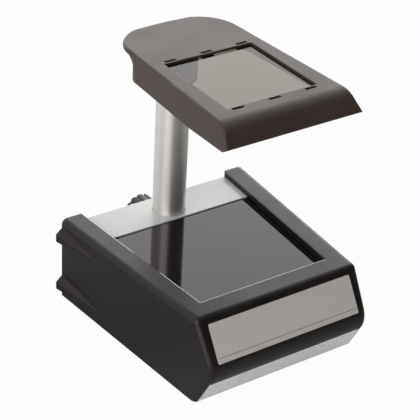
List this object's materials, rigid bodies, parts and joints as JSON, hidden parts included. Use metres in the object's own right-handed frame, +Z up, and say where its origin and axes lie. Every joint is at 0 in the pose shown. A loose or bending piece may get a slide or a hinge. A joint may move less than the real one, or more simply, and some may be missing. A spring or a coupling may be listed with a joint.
{
  "type": "lens strain tester",
  "caption": "Bench polariscope for spectacle lenses: a black light box with a dark polarising glass, a tube column with a fluted clamp knob and a hooded head that carries a polarising film.",
  "frame": {"origin": "on the table, midway between the foremost line of the case and the end of the clamp knob; the rubber feet stand on z = 0", "axes": "+X the operator's right, +Y toward the rear where the column stands, +Z up"},
  "size_m": [0.2096, 0.2404, 0.2546],
  "materials": {
    "black_abs": "fine texture",
    "grey_abs": "satin",
    "galvanised_steel": "spangled zinc",
    "light_grey_paint": "satin",
    "smoked_polariser": "gloss",
    "opal_acrylic": "satin",
    "polarising_film": "clear",
    "white_paint": "gloss",
    "lamp_glass": "gloss",
    "dull_aluminium": "satin",
    "white_plastic": "satin",
    "lacquered_iron": "satin",
    "zinc_steel": "plated",
    "brass": "plain",
    "black_polyamide": "satin",
    "black_phenolic": "satin",
    "grey_casting": "satin",
    "polished_column": "bright satin",
    "silver_label": "satin",
    "rubber": "matte",
    "red_polyamide": "gloss"
  },
  "bodies": {
    "stand": {"base_case": "black_abs", "chassis_pan": "galvanised_steel", "deck_plate": "light_grey_paint", "polariser_glass": "smoked_polariser", "opal_diffuser": "opal_acrylic", "rear_panel": "galvanised_steel", "panel_brackets": "galvanised_steel", "panel_screws": "zinc_steel", "reflector": "white_paint", "lamp_tube": "lamp_glass", "lamp_caps": "dull_aluminium", "lamp_holders": "white_plastic", "ballast": "lacquered_iron", "ballast_screws": "zinc_steel", "lamp_starter": "white_plastic", "starter_holder": "white_plastic", "terminal_block": "white_plastic", "terminal_screws": "brass", "earth_stud": "brass", "mains_inlet": "black_polyamide", "inlet_pins": "brass", "inlet_screws": "zinc_steel", "power_switch": "black_polyamide", "column_socket": "grey_casting", "socket_screws": "zinc_steel", "label_plate": "silver_label", "rubber_feet": "rubber", "foot_screws": "zinc_steel", "case_screws": "zinc_steel"},
    "column": {"column_tube": "polished_column", "column_plugs": "black_polyamide"},
    "head": {"head_shell": "grey_abs", "analyser_film": "polarising_film", "head_screw": "zinc_steel"},
    "pad": {"clamp_pad": "brass"},
    "knob": {"clamp_screw": "zinc_steel", "clamp_knob": "black_phenolic", "knob_cap": "black_phenolic"},
    "rocker": {"switch_rocker": "red_polyamide"}
  },
  "joints": [
    {"name": "column_height", "type": "slide", "parent": "stand", "child": "column", "axis": [0, 0, 1], "range_m": [0, 0.035]},
    {"name": "head_swing", "type": "hinge", "parent": "column", "child": "head", "pos_m": [0, 0.06999, 0.23], "axis": [0, 0, 1], "range_deg": [-180, 180]},
    {"name": "knob_turn", "type": "hinge", "parent": "pad", "child": "knob", "pos_m": [0, 0.10294, 0.053], "axis": [0, 1, 0], "range_deg": [0, 720]},
    {"name": "pad_travel", "type": "slide", "parent": "stand", "child": "pad", "axis": [0, 1, 0], "range_m": [0, 0.0025]},
    {"name": "switch_rock", "type": "hinge", "parent": "stand", "child": "rocker", "pos_m": [0.058, 0.09174, 0.037], "axis": [1, 0, 0], "range_deg": [-16, 0]}
  ],
  "couplings": [
    {"joint": "knob_turn", "follows": "pad_travel", "rad_per_m": 5026.5}
  ]
}
